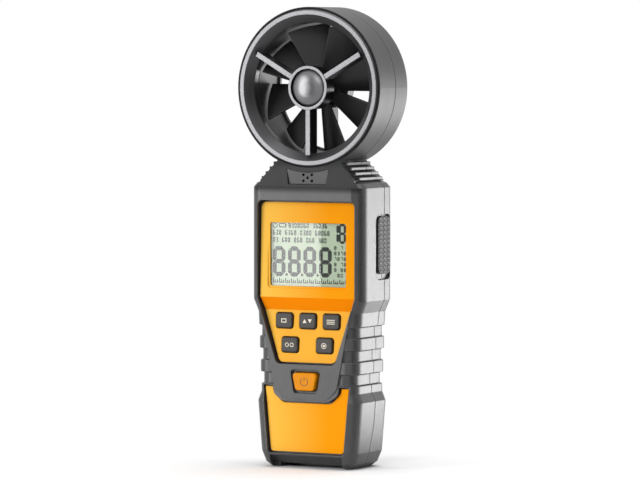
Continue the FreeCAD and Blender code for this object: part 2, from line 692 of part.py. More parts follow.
def bosses(shell, rear):
    """Screw bosses from the front wall to the back."""
    shell.pad("XZ", "-front_wall_y - seat_gap", rear, discs(SCREW_SPOTS, "boss_radius"))


def grip_recesses(shell):
    """Long recess in each flank of the chest."""
    corners = rectangle("-grip_front_y", "grip_rear_y", "grip_low_z", "grip_top_z",
                        "grip_round")
    shell.pocket("YZ", "body_half_width - grip_recess", "body_half_width + shell_wall",
                 corners)
    shell.pocket("YZ", "-body_half_width - shell_wall", "grip_recess - body_half_width",
                 corners)


def upper_panel_outline(gap):
    """Outline of the upper panel, grown by a gap."""
    corners = [(f"panel_low_half_width + {gap}", f"panel_low_z - {gap}", "panel_round"),
               (f"panel_half_width + {gap}", "panel_shoulder_z"),
               (f"panel_half_width + {gap}", f"panel_top_z + {gap}", "panel_round")]
    return both_sides(corners)


def shield_edge(gap):
    """Right-hand edge of the shield from bottom to top, grown by a gap."""
    return [(f"shield_low_half_width + {gap}", f"shield_low_z - {gap}", "shield_round"),
            (f"shield_mid_half_width + {gap}", f"shield_mid_z - {gap}", "shield_round"),
            (f"shield_top_half_width + {gap}", "shield_top_z")]


def lower_panel_outline(gap):
    """U-shaped outline of the lower panel, whose top follows the shield."""
    clear = f"panel_gap * 2 - {gap}"
    tip = "shield_mid_half_width + (apron_top_z - shield_mid_z) * shield_rake"
    right = [(f"apron_low_half_width + {gap}", f"apron_low_z - {gap}", "panel_gap * 2"),
             (f"apron_top_half_width + {gap}", f"apron_top_z + {gap}"),
             (f"{tip} + {clear}", f"apron_top_z + {gap}"),
             (f"shield_mid_half_width + {clear}", f"shield_mid_z - {clear}",
              "shield_round"),
             (f"shield_low_half_width + {clear}", f"shield_low_z - ({clear})",
              "shield_round")]
    return both_sides(right)


KEYS = (("key_upper_left", "-upper_key_x", "upper_key_z"),
        ("key_upper_middle", "0", "upper_key_z"),
        ("key_upper_right", "upper_key_x", "upper_key_z"),
        ("key_lower_left", "-lower_key_x", "lower_key_z"),
        ("key_lower_right", "lower_key_x", "lower_key_z"))


def key_outline(x, z, grow, radius="key_round"):
    """Rounded outline of a key, grown all round."""
    return rectangle(f"{x} - key_width / 2 - ({grow})", f"{x} + key_width / 2 + ({grow})",
                     f"{z} - key_height / 2 - ({grow})",
                     f"{z} + key_height / 2 + ({grow})", radius)


def power_outline(grow):
    """Trapezoid outline of the power key, grown all round."""
    low = (f"power_low_half_width + {grow}", f"power_z - power_half_height - ({grow})",
           "key_round")
    top = (f"power_top_half_width + {grow}", f"power_z + power_half_height + {grow}",
           "key_round")
    return both_sides([low, top])


def window_outline(grow, radius=None):
    """Outline of the display window, grown all round."""
    return rectangle(f"-window_half_width - ({grow})", f"window_half_width + {grow}",
                     f"window_z - window_half_height - ({grow})",
                     f"window_z + window_half_height + {grow}", radius)


POST_SPOTS = [(f"{side} * post_x", f"window_z {shift} post_rise")
              for side in (-1, 1) for shift in ("-", "+")]


def vent_outline(gap):
    """Outline of the vent, whose hollow upper edge runs along the ring."""
    low = (f"vent_low_half_width + {gap}", f"vent_low_z - {gap}")
    top = (f"vent_top_half_width + {gap}", f"vent_top_z + {gap}")
    middle = ("0", f"vent_top_z - vent_dip + {gap}", "ring_radius")
    right = [low, top]
    left = both_sides(right)[2:]
    return right + [middle] + left


def front_shell():
    """Front half of the housing with the recesses for both panels."""
    shell = Piece("front_shell")
    outer_form(shell, "-ring_front_y", "body_half_depth")
    shell.pad("XZ", "-body_half_depth", "-front_wall_y",
              both_sides(shield_edge("0")))
    hollow_body(shell)
    bosses(shell, "body_half_depth - shell_wall")
    keep_side(shell, 1)
    shell.turn("Groove", "ring_z", rectangle("0", "ring_radius - ring_wall",
                                             "-body_half_depth", "body_half_depth"))
    shell.turn("Groove", "ring_z", rectangle("0", "rim_radius + shadow_width",
                                             "-2 * body_half_depth", "-ring_front_y"))
    shell.turn("Groove", "ring_z", rectangle("rim_radius", "rim_radius + shadow_width",
                                             "-2 * body_half_depth",
                                             "shadow_depth - ring_front_y"))
    shell.pocket("XZ", "-2 * body_half_depth", "-panel_seat_y",
                 upper_panel_outline("panel_gap"))
    shell.pocket("XZ", "-2 * body_half_depth", "-apron_seat_y",
                 lower_panel_outline("panel_gap"))
    shell.pocket("XZ", "-body_half_depth", "0", window_outline("lens_lap + seam"))
    shell.pocket("XZ", "-body_half_depth", "0",
                 [key_outline(x, z, "key_lap + key_gap") for name, x, z in KEYS])
    shell.pocket("XZ", "-2 * body_half_depth", "0", power_outline("key_gap"))
    shell.pocket("XZ", "-2 * body_half_depth", "moat_depth - body_half_depth",
                 power_outline("moat_width"))
    shell.pocket("XZ", "-panel_seat_y", "0", power_outline("key_lap + key_gap"))
    shell.pocket("XZ", "-2 * body_half_depth", "-vent_seat_y", vent_outline("seat_gap"))
    reach = "vent_hole_rise + vent_hole_radius"
    shell.pocket("XZ", "-body_half_depth", "0",
                 rectangle("-2 * vent_hole_x", "2 * vent_hole_x", f"vent_hole_z - ({reach})",
                           f"vent_hole_z + {reach}"))
    shell.pad("XZ", "-front_wall_y - seat_gap", "-board_front_y",
              discs(POST_SPOTS, "post_radius"))
    shell.pocket("XZ", "-front_wall_y", "-board_front_y",
                 discs(POST_SPOTS, "board_screw_radius + running_gap"))
    shell.pocket("XZ", "-front_wall_y + seat_gap", "body_half_depth",
                 discs(SCREW_SPOTS, "screw_radius + screw_gap"))
    grip_recesses(shell)
    shell.pocket("XZ", "-2 * body_half_depth", "body_half_depth",
                 rectangle("-notch_half_width", "notch_half_width", "-shell_wall",
                           "notch_height"))
    chin = [("-2 * body_half_depth", "chin_z"), ("-apron_y", "chin_z"),
            ("chin_depth - apron_y", "notch_height"), ("chin_depth - apron_y", "-shell_wall"),
            ("-2 * body_half_depth", "-shell_wall")]
    shell.pocket("YZ", "-apron_low_half_width", "apron_low_half_width", chin)


def rear_shell():
    """Rear half of the housing with the battery bay and the duct wall."""
    shell = Piece("rear_shell")
    outer_form(shell, "-body_half_depth / 2", "ring_rear_y")
    hollow_body(shell)
    bosses(shell, "body_half_depth - shell_wall + seat_gap")
    shell.pad("XZ", "body_half_depth - tripod_length - shell_wall",
              "body_half_depth - shell_wall",
              ["0", "tripod_z", "tripod_radius + 2 * tripod_wall"])
    keep_side(shell, -1)
    shell.turn("Groove", "ring_z", rectangle("0", "ring_radius - ring_wall",
                                             "-body_half_depth", "ring_rear_y - ring_wall"))
    shell.turn("Revolution", "ring_z",
               rectangle("duct_radius", "duct_radius + duct_wall", "-duct_split_y",
                         "ring_rear_y"))
    shell.turn("Groove", "ring_z", rectangle("0", "duct_radius", "-body_half_depth",
                                             "2 * body_half_depth"))
    shell.turn("Groove", "ring_z", rectangle("0", "rear_rim_radius + seat_gap",
                                             "ring_rear_y - rear_rim_thick",
                                             "2 * body_half_depth"))
    bay_half = "battery_width / 2 + battery_gap"
    bay_front = "battery_rear_y - battery_depth - battery_gap"
    bay_top = "battery_low_z + battery_height + 2 * snap_height"
    shell.pad("XY", "cover_low_z", f"{bay_top} + bay_side",
              rectangle(f"-({bay_half}) - bay_side", f"{bay_half} + bay_side",
                        f"{bay_front} - bay_wall", "body_half_depth - cover_thick"))
    shell.pocket("XY", "battery_low_z - battery_gap", bay_top,
                 rectangle(f"-({bay_half})", bay_half, bay_front, "body_half_depth"))
    shell.pocket("XZ", "body_half_depth - cover_thick", "2 * body_half_depth",
                 rectangle("-cover_half_width - cover_gap", "cover_half_width + cover_gap",
                           "cover_low_z - cover_gap", "cover_top_z + cover_gap",
                           "cover_round"))
    slots = [rectangle(f"{side} * tongue_x - tongue_width / 2 - cover_gap",
                       f"{side} * tongue_x + tongue_width / 2 + cover_gap",
                       "cover_top_z - 2 * tongue_reach",
                       "cover_top_z + tongue_reach + cover_gap") for side in (-1, 1)]
    shell.pocket("XZ", "body_half_depth - cover_thick - 2 * tongue_thick",
                 "body_half_depth - cover_thick + tongue_thick + cover_gap / 2", slots)
    shell.pocket("XZ", "body_half_depth - cover_thick - screw_reach - seat_gap",
                 "body_half_depth", ["0", "cover_screw_z", "screw_radius + 3 * screw_gap"])
    shell.pocket("XZ", "body_half_depth - tripod_length", "2 * body_half_depth",
                 ["0", "tripod_z", "tripod_radius + tripod_wall"])
    shell.pocket("XZ", "-body_half_depth", "2 * body_half_depth",
                 discs(SCREW_SPOTS, "screw_radius + screw_gap"))
    shell.pocket("XZ", "body_half_depth - head_sink", "2 * body_half_depth",
                 discs(SCREW_SPOTS, "head_radius + screw_gap"))
    grip_recesses(shell)


# ---------------------------------------------------------------- panels and display

def upper_panel():
    """Orange frame around display and keys, with its sloping face."""
    panel = Piece("upper_panel")
    panel.pad("XZ", "-body_half_depth", "-panel_seat_y", upper_panel_outline("0"))
    out = "-2 * body_half_depth"
    face = [(out, "panel_top_z + shell_wall"), ("-panel_top_y", "panel_top_z + shell_wall"),
            ("-panel_top_y", "panel_top_z"), ("-panel_brow_y", "panel_shoulder_z"),
            ("-keypad_top_y", "keypad_z"), ("-keypad_low_y", "panel_low_z"),
            ("-keypad_low_y", "panel_low_z - shell_wall"),
            (out, "panel_low_z - shell_wall")]
    panel.pocket("YZ", "-body_half_width", "body_half_width", face)
    panel.pocket("XZ", "-body_half_depth", "0", window_outline("0", "window_round"))
    panel.pocket("XZ", "-body_half_depth", "frame_depth - panel_brow_y",
                 window_outline("frame_width", "window_round + frame_width"))
    panel.pocket("XZ", "-lens_front_y", "0", window_outline("lens_lap + seat_gap"))
    panel.pocket("XZ", "-body_half_depth", "0",
                 [key_outline(x, z, "key_gap") for name, x, z in KEYS])


def lower_panel():
    """Orange apron under the power key."""
    panel = Piece("lower_panel")
    panel.pad("XZ", "-apron_y", "-apron_seat_y", lower_panel_outline("0"))


def display():
    """Lens, display glass, backlight and contact strip, stacked on the main board."""
    lens = Piece("display_window")
    lens.pad("XZ", "-lens_front_y", "-panel_seat_y", window_outline("lens_lap"))
    glass = Piece("display_glass")
    glass_rear = "glass_thick - panel_seat_y"
    glass.pad("XZ", "-panel_seat_y", glass_rear, window_outline("lens_lap"))
    low = "window_z - window_half_height - lens_lap"
    light = Piece("backlight")
    light.pad("XZ", glass_rear, "-board_front_y",
              rectangle("-window_half_width", "window_half_width",
                        f"{low} + strip_thick + 2 * seam", "window_z + window_half_height"))
    strip = Piece("contact_strip")
    strip.pad("XZ", glass_rear, "-board_front_y",
              rectangle("-window_half_width", "window_half_width", f"{low} + seam",
                        f"{low} + seam + strip_thick"))


def keys():
    """Five sliding keys, each with a flange that holds it behind the panel."""
    for name, x, z in KEYS:
        face = (f"-keypad_top_y - (keypad_z - ({z})) * (keypad_low_y - keypad_top_y)"
                " / (keypad_z - panel_low_z) - key_stand")
        key = Piece(name)
        key.pad("XZ", face, "-panel_seat_y + seat_gap", key_outline(x, z, "0"))
        front = value(face)
        key.dress("Fillet", "key_edge", lambda edge: lies_at(edge, "y", front))
        key.pad("XZ", "-panel_seat_y + seat_gap", "-panel_seat_y + seat_gap + flange_thick",
                key_outline(x, z, "key_lap"))
    key = Piece("power_key")
    key.pad("XZ", "-power_front_y", "-panel_seat_y + seat_gap", power_outline("0"))
    front = -value("power_front_y")
    key.dress("Fillet", "key_edge", lambda edge: lies_at(edge, "y", front))
    key.pad("XZ", "-panel_seat_y + seat_gap", "-panel_seat_y + seat_gap + flange_thick",
            power_outline("key_lap"))


# ---------------------------------------------------------------- boards

def boards():
    """Key mat, both circuit boards, their link, chips, buzzer and board screws."""
    mat_rear = "mat_thick - front_wall_y"
    mat = Piece("key_mat")
    mat.pad("XZ", "-front_wall_y", mat_rear,
            rectangle("-key_board_half_width", "key_board_half_width", "key_board_low_z",
                      "key_board_top_z", "key_round"))
    board = Piece("key_board")
    key_board_rear = f"{mat_rear} + board_thick"
    board.pad("XZ", mat_rear, key_board_rear,
              rectangle("-key_board_half_width", "key_board_half_width",
                        "key_board_low_z", "key_board_top_z", "key_round"))
    board_rear = "board_thick - board_front_y"
    board = Piece("main_board")
    board.pad("XZ", "-board_front_y", board_rear,
              rectangle("-main_board_half_width", "main_board_half_width",
                        "main_board_low_z", "main_board_top_z", "key_round"))
    board.pocket("XZ", "-board_front_y", board_rear,
                 discs(POST_SPOTS, "board_screw_radius + running_gap"))
    link = block("board_link", "-link_half_width", "link_half_width", key_board_rear,
                 board_rear, "key_board_top_z - link_lap", "main_board_low_z - seat_gap")
    link.Label = "board_link"
    chips = [block(f"chip{i}", f"{x} - {half}", f"{x} + {half}", board_rear,
                   f"{board_rear} + chip_thick", f"window_z + {z} - {half}",
                   f"window_z + {z} + {half}")
             for i, (x, z, half) in enumerate((("-6", "4", "chip_half"),
                                               ("9", "7", "chip_half / 2"),
                                               ("-16", "-8", "chip_half / 2")))]
    fuse("board_chips", chips)
    buzzer = rod("buzzer", "y", "buzzer_x", board_rear, "window_z - buzzer_drop",
                 "buzzer_radius", "buzzer_height")
    buzzer.Label = "buzzer"
    screws = []
    for i, (x, z) in enumerate(POST_SPOTS):
        screws.append(rod(f"board_head{i}", "y", x, board_rear, z, "board_head_radius",
                          "board_head_thick"))
        screws.append(rod(f"board_shank{i}", "y", x, f"{mat_rear}", z,
                          "board_screw_radius", f"{board_rear} - ({mat_rear})"))
    fuse("board_screws", screws)


# ---------------------------------------------------------------- vane and guards

def hub_ring(radius):
    """Circle centred on the vane axis."""
    return ["0", "0", radius]


def bar(length):
    """Upright bar from the vane axis down, for one spoke."""
    return rectangle("-spoke_width / 2", "spoke_width / 2", f"-({length})", "0")


def front_guard():
    """Bright rim with inlet bevel, three deep spokes and the hub cup."""
    guard = Piece("front_guard")
    skirt = "duct_radius + duct_wall - seat_gap"
    spigot = "ring_radius - ring_wall - seat_gap"
    rim = [("duct_radius", "-duct_split_y - seam"), ("duct_radius", "-throat_y"),
           ("rim_inner_radius", "-rim_front_y"),
           ("rim_radius - ledge_height", "-rim_front_y"),
           ("rim_radius", "ledge_height - rim_front_y"), ("rim_radius", "-ring_front_y"),
           (spigot, "-ring_front_y"), (spigot, "rim_spigot - ring_front_y"),
           (skirt, "duct_wall - throat_y"), (skirt, "-duct_split_y - seam")]
    guard.turn("Revolution", "0", rim)
    spoke = guard.pad("XZ", "spoke_sink - rim_front_y", "-guard_rear_y",
                      bar("duct_radius + duct_wall / 2"))
    guard.repeat([spoke], "Y", "spoke_count")
    guard.pad("XZ", "-rim_front_y", "-guard_rear_y", hub_ring("guard_hub_radius"))
    guard.pocket("XZ", "-rim_front_y", "-guard_rear_y - hub_floor",
                 hub_ring("guard_hub_radius - guard_hub_wall"))
    guard.pad("XZ", "-guard_rear_y - hub_floor", "-vane_half_depth - 2 * seam",
              hub_ring("bearing_radius + boss_wall"))
    guard.pocket("XZ", "-vane_half_depth - bearing_depth - 2 * seam", "0",
                 hub_ring("bearing_radius + running_gap"))
    guard.move(z="ring_z")


def hub_cap():
    """Domed cap in the guard's hub cup."""
    cap = Piece("hub_cap")
    floor = "-guard_rear_y - hub_floor"
    cap.pad("XZ", f"{floor} - dome_skirt - dome_height", floor, hub_ring("dome_radius"))
    dome = f"{floor} - dome_skirt"
    out = "-2 * body_half_depth"
    steps = [math.radians(angle) for angle in (0, 15, 30, 45, 60, 75, 90)]
    curve = [(f"dome_radius * {math.cos(step):.5f}",
              f"{dome} - dome_height * {math.sin(step):.5f}") for step in steps]
    cap.turn("Groove", "0", curve + [("0", out), ("2 * dome_radius", out),
                                     ("2 * dome_radius", dome)])
    cap.move(z="ring_z")


def rear_guard():
    """Rear rim, three spokes and the closed hub that holds the pickup."""
    guard = Piece("rear_guard")
    rim_low = "ring_rear_y - rear_rim_thick"
    guard.turn("Revolution", "0",
               rectangle("duct_radius - 2 * ledge_height", "rear_rim_radius", rim_low,
                         "ring_rear_y"))
    spoke = guard.pad("XZ", "rear_guard_y", "ring_rear_y - spoke_sink",
                      bar("duct_radius - seat_gap"))
    guard.repeat([spoke], "Y", "spoke_count")
    guard.pad("XZ", "rear_guard_y", "ring_rear_y", hub_ring("rear_hub_radius"))
    guard.pocket("XZ", "rear_guard_y", "rear_guard_y + bearing_depth",
                 hub_ring("rear_hub_radius - guard_hub_wall"))
    guard.pad("XZ", "vane_half_depth + 2 * seam", "rear_guard_y + bearing_depth",
              hub_ring("bearing_radius + boss_wall"))
    guard.pocket("XZ", "0", "vane_half_depth + bearing_depth + 2 * seam",
                 hub_ring("bearing_radius + running_gap"))
    guard.move(z="ring_z")


def bearings():
    """Two jewel bearings for the vane's shaft."""
    for name, low in (("front_bearing", "-vane_half_depth - bearing_depth - 2 * seam"),
                      ("rear_bearing", "vane_half_depth + 2 * seam")):
        bearing = Piece(name)
        bearing.pad("XZ", low, f"{low} + bearing_depth",
                    [hub_ring("bearing_radius"), hub_ring("shaft_radius + running_gap")])
        bearing.move(z="ring_z")


def vane():
    """Vane wheel with pitched blades, its shaft, and the ring magnet for the pickup."""
    wheel = Piece("vane_wheel")
    wheel.pad("XZ", "-vane_half_depth", "vane_half_depth", hub_ring("vane_hub_radius"))
    blade = wheel.body.newObject("PartDesign::Pad", "vane_blade")
    root = "vane_hub_radius - boss_wall"
    sheet_outline = both_sides([("blade_root_chord / 2", root),
                                ("blade_tip_chord / 2", "vane_radius + boss_wall")])
    blade.Profile = wheel.sketch("XZ", "0", sheet_outline)
    bind(blade.Profile[0], "AttachmentOffset.Rotation.Angle", "blade_pitch")
    blade.Profile[0].AttachmentOffset.Rotation.Axis = Vector(0, 1, 0)
    bind(blade, "Length", "blade_thick")
    blade.Midplane = True
    wheel.repeat([blade], "Y", "blade_count")
    wheel.turn("Groove", "0", rectangle("vane_radius", "vane_radius * 1.5",
                                        "-2 * vane_half_depth", "2 * vane_half_depth"))
    wheel.pocket("XZ", "-vane_half_depth", "vane_half_depth", hub_ring("shaft_radius"))
    wheel.pocket("XZ", "vane_half_depth - magnet_thick", "vane_half_depth",
                 hub_ring("magnet_radius"))
    wheel.move(z="ring_z")
    bind(wheel.body, "Placement.Rotation.Angle", "vane_turn")
    wheel.body.Placement.Rotation.Axis = Vector(0, 1, 0)
    magnet = Piece("vane_magnet")
    magnet.pad("XZ", "vane_half_depth - magnet_thick", "vane_half_depth",
               [hub_ring("magnet_radius"), hub_ring("shaft_radius")])
    magnet.move(z="ring_z")
    shaft = Piece("vane_shaft")
    reach = "vane_half_depth + bearing_depth + seam"
    shaft.pad("XZ", f"-({reach})", reach, hub_ring("shaft_radius"))
    shaft.move(z="ring_z")


def sensors():
    """Pickup in the rear hub, vent plate in the neck, and the air sensor behind it."""
    pickup = block("pickup_sensor", "-pickup_half", "pickup_half",
                   "rear_guard_y + bearing_depth - pickup_thick",
                   "rear_guard_y + bearing_depth",
                   "ring_z - rear_hub_radius + guard_hub_wall + 2 * seam",
                   "ring_z - bearing_radius - boss_wall - seat_gap")
    pickup.Label = "pickup_sensor"
    vent = Piece("sensor_vent")
    face = "-vent_seat_y - vent_thick"
    vent.pad("XZ", face, "-vent_seat_y", vent_outline("0"))
    holes = [["0", "vent_hole_z", "vent_hole_radius"]]
    holes += [[f"{side} * vent_hole_x", f"vent_hole_z + {rise} * vent_hole_rise",
               "vent_hole_radius"] for side in (-1, 1) for rise in (-1, 1)]
    vent.pocket("XZ", face, "-vent_seat_y", holes)
    sensor = block("air_sensor", "-sensor_half", "sensor_half",
                   "-vent_seat_y + seat_gap", "-channel_half_depth + sensor_half",
                   "vent_hole_z - sensor_half", "vent_hole_z + sensor_half")
    sensor.Label = "air_sensor"


# ---------------------------------------------------------------- battery and back

def battery():
    """Nine-volt block with its two snaps, and the snap connector on top."""
    cell = Piece("battery")
    bottom = "battery_low_z"
    top = "battery_low_z + battery_height"
    cell.pad("XY", bottom, top,
             rectangle("-battery_width / 2", "battery_width / 2",
                       "battery_rear_y - battery_depth", "battery_rear_y",
                       "battery_round"))
    middle = "battery_rear_y - battery_depth / 2"
    cell.pad("XY", top, f"{top} + snap_height",
             [[f"{side} * snap_spacing / 2", middle, "snap_radius"] for side in (-1, 1)])
    snap = Piece("battery_connector")
    snap.pad("XY", f"{top} + snap_height", f"{top} + 2 * snap_height - battery_gap",
             rectangle("-snap_spacing", "snap_spacing", f"{middle} - 2 * snap_radius",
                       f"{middle} + 2 * snap_radius", "battery_round"))


def battery_cover():
    """Cover on the back with two hooked tongues, grip ribs, foam pad and screw."""
    cover = Piece("battery_cover")
    inner = "body_half_depth - cover_thick"
    cover.pad("XZ", inner, "body_half_depth",
              rectangle("-cover_half_width", "cover_half_width", "cover_low_z",
                        "cover_top_z", "cover_round"))
    tongues = [rectangle(f"{side} * tongue_x - tongue_width / 2",
                         f"{side} * tongue_x + tongue_width / 2",
                         "cover_top_z - tongue_reach", "cover_top_z + tongue_reach")
               for side in (-1, 1)]
    cover.pad("XZ", inner, f"{inner} + tongue_thick", tongues)
    cover.pocket("XZ", inner, "body_half_depth",
                 ["0", "cover_screw_z", "screw_radius + screw_gap"])
    cover.pocket("XZ", "body_half_depth - cover_thick / 2", "body_half_depth",
                 ["0", "cover_screw_z", "head_radius + screw_gap"])
    grooves = [rectangle("-cover_half_width / 2", "cover_half_width / 2",
                         f"cover_screw_z + head_radius * 2 + {row} * grip_rib_pitch",
                         f"cover_screw_z + head_radius * 2 + ({row} + 0.4) * grip_rib_pitch")
               for row in range(int(value("grip_rib_count")))]
    cover.pocket("XZ", "body_half_depth - cover_thick / 4", "body_half_depth", grooves)
    pad = Piece("battery_pad")
    pad.pad("XZ", f"{inner} - pad_thick", inner,
            rectangle("-battery_width / 3", "battery_width / 3",
                      "battery_low_z + battery_height / 4",
                      "battery_low_z + battery_height * 3 / 4"))
    screw = [rod("cover_screw_head", "y", "0", "body_half_depth - cover_thick / 2",
                 "cover_screw_z", "head_radius", "cover_thick / 2 - seat_gap"),
             rod("cover_screw_shank", "y", "0",
                 f"{inner} - screw_reach / 2",
                 "cover_screw_z", "screw_radius", "cover_thick / 2 + screw_reach / 2")]
    fuse("cover_screw", screw)


def fasteners():
    """Four screws through the rear shell, and the threaded bush for a tripod."""
    screws = []
    head = "body_half_depth - head_sink"
    for i, (x, z) in enumerate(SCREW_SPOTS):
        screws.append(rod(f"shell_head{i}", "y", x, head, z, "head_radius", "head_thick"))
        screws.append(rod(f"shell_shank{i}", "y", x, "-screw_reach", z, "screw_radius",
                          f"{head} + screw_reach"))
    fuse("shell_screws", screws)
    bush = Piece("tripod_bush")
    bush.pad("XZ", "body_half_depth - tripod_length", "body_half_depth",
             [["0", "tripod_z", "tripod_radius + tripod_wall"],
              ["0", "tripod_z", "tripod_radius"]])


def grips():
    """Soft pads in the recesses of both flanks."""
    for name, low, high in (("left_grip", "-body_half_width + seat_gap",
                             "grip_recess - body_half_width"),
                            ("right_grip", "body_half_width - grip_recess",
                             "body_half_width - seat_gap")):
        grip = Piece(name)
        grip.pad("YZ", low, high,
                 rectangle("grip_gap_front - grip_front_y", "grip_rear_y - grip_gap",
                           "grip_low_z + grip_gap_low", "grip_top_z - 3 * grip_gap",
                           "grip_round - grip_gap"))


# ---------------------------------------------------------------- build and write

for make in (front_shell, rear_shell, upper_panel, lower_panel, display, keys, boards,
             front_guard, hub_cap, rear_guard, bearings, vane, sensors, battery,
             battery_cover, fasteners, grips):
    make()
doc.recompute()

faults = [item.Name for item in doc.Objects
          if "Invalid" in item.State or "Error" in item.State]
if faults:
    raise RuntimeError("failed objects: " + ", ".join(faults))

GROUPS = ("board_link", "board_chips", "buzzer", "board_screws", "pickup_sensor",
          "air_sensor", "cover_screw", "shell_screws")
os.makedirs("parts", exist_ok=True)
nodes = [item for item in doc.Objects
         if item.TypeId == "PartDesign::Body" or item.Label in GROUPS]
for item in nodes:
    if item.Shape.isNull() or not item.Shape.isValid():
        raise RuntimeError("bad shape: " + item.Label)
for item in nodes:
    item.Shape.exportStep(os.path.join("parts", item.Label + ".step"))
    print(item.Label, len(item.Shape.Solids), round(item.Shape.Volume, 1))
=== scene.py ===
"""Looks of the handheld vane anemometer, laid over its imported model.

Metres, +Z up, the display faces -Y, +X to the right seen from the front.
"""

import json
import math

import bmesh
import bpy
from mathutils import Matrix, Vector


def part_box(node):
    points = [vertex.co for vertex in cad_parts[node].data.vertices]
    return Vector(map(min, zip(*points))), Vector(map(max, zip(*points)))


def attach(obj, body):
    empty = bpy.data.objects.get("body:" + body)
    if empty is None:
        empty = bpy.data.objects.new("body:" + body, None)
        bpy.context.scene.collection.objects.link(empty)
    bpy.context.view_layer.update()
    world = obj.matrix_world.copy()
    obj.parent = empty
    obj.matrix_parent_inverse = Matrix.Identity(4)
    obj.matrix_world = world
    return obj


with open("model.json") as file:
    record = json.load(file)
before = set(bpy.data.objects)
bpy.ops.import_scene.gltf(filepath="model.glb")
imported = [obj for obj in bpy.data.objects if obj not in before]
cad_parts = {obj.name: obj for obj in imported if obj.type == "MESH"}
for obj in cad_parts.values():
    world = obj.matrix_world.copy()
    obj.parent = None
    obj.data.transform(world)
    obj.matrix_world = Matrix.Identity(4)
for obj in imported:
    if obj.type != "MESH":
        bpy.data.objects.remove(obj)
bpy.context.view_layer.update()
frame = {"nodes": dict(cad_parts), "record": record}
nodes = frame["nodes"]
MM = 0.001


# ---------------------------------------------------------------- node materials

class Look:
    """A node material built round one Principled shader, in the object's own metres."""

    def __init__(self, name, **scalars):
        self.material = bpy.data.materials.new(name)
        self.material.use_nodes = True
        self.tree = self.material.node_tree
        self.shader = self.tree.nodes["Principled BSDF"]
        for socket, number in scalars.items():
            self.shader.inputs[socket.replace("_", " ")].default_value = number
        self.place = self.add("TexCoord").outputs["Object"]
        self.lay = self.place

    def add(self, kind, settings=None, **inputs):
        """New shader node; an input is a socket, a number, or a tuple."""
        node = self.tree.nodes.new("ShaderNode" + kind)
        for key, setting in (settings or {}).items():
            setattr(node, key, setting)
        for key, source in inputs.items():
            self.feed(node.inputs[key.replace("_", " ")], source)
        return node

    def feed(self, socket, source):
        """Link a socket to the input, or set the input to a plain value."""
        if isinstance(source, bpy.types.NodeSocket):
            self.tree.links.new(source, socket)
        else:
            socket.default_value = source

    def fed(self, name):
        """The socket that feeds an input of the shader."""
        return self.shader.inputs[name].links[0].from_socket

    def math(self, operation, first, second=0.0, third=0.0):
        """Result of one sum over sockets or numbers."""
        node = self.tree.nodes.new("ShaderNodeMath")
        node.operation = operation
        for socket, source in zip(node.inputs, (first, second, third)):
            self.feed(socket, source)
        return node.outputs[0]

    def axes(self):
        """The three coordinates of the place, as sockets."""
        node = self.add("SeparateXYZ", Vector=self.place)
        return node.outputs[0], node.outputs[1], node.outputs[2]

    def facing(self, axis):
        """Share of the surface's direction that lies along an axis, from -1 to 1."""
        normal = self.add("NewGeometry").outputs["Normal"]
        return self.add("SeparateXYZ", Vector=normal).outputs[axis]

    def noise(self, size, stretch=(1, 1, 1), detail=3.0, rough=0.55):
        """Noise from 0 to 1 whose lumps are about size metres, longer where stretch is small."""
        mapping = self.add("Mapping", Vector=self.lay, Scale=tuple(stretch))
        return self.add("TexNoise", Vector=mapping.outputs[0], Scale=1 / size,
                        Detail=detail, Roughness=rough).outputs["Fac"]

    def ramp(self, value, low, high, start=0.0, end=1.0):
        """Map value from low..high onto start..end, held at both ends."""
        return self.add("MapRange", {"clamp": True}, Value=value, From_Min=low,
                        From_Max=high, To_Min=start, To_Max=end).outputs[0]

    def vary(self, noise, start=0.0, end=1.0):
        """Spread the range where most of a noise lies over start..end."""
        return self.ramp(noise, 0.3, 0.7, start, end)

    def mix(self, fraction, first, second):
        """Blend of two colours; each is a tuple of three numbers or a socket."""
        node = self.tree.nodes.new("ShaderNodeMix")
        node.data_type = "RGBA"
        for socket, source in zip((node.inputs[0], node.inputs[6], node.inputs[7]),
                                  (fraction, first, second)):
            self.feed(socket, (*source, 1.0) if isinstance(source, tuple) else source)
        return node.outputs[2]

    def blend(self, fraction, first, second):
        """Blend of two shaders."""
        node = self.add("MixShader", Fac=fraction)
        self.feed(node.inputs[1], first)
        self.feed(node.inputs[2], second)
        return node.outputs[0]

    def set(self, name, source):
        """Feed an input of the shader."""
        self.feed(self.shader.inputs[name], source)

    def surface(self, source):
        """Use another shader in place of the Principled one."""
        self.feed(self.tree.nodes["Material Output"].inputs["Surface"], source)

    def cover(self, mask, color):
        """Lay a second colour over the first where the mask is 1."""
        self.set("Base Color", self.mix(mask, self.fed("Base Color"), color))

    def relief(self, height, depth, round_edge=None):
        """Bump of a height from 0 to 1 that is depth metres high, over rounded edges."""
        bump = self.add("Bump", Height=height, Distance=depth, Strength=1.0)
        if round_edge:
            self.feed(bump.inputs["Normal"], self.rounded(round_edge))
        self.set("Normal", bump.outputs[0])

    def rounded(self, radius):
        """Normal that is bent round the edges."""
        return self.add("Bevel", {"samples": 6}, Radius=radius).outputs[0]

    def edges(self, radius):
        """1 along edges, 0 on the open faces."""
        flat = self.add("NewGeometry").outputs["Normal"]
        dot = self.add("VectorMath", {"operation": "DOT_PRODUCT"})
        self.feed(dot.inputs[0], flat)
        self.feed(dot.inputs[1], self.rounded(radius))
        return self.ramp(dot.outputs["Value"], 0.995, 0.80)


def shade(color, factor):
    """Colour made lighter or darker."""
    return tuple(min(1.0, part * factor) for part in color)


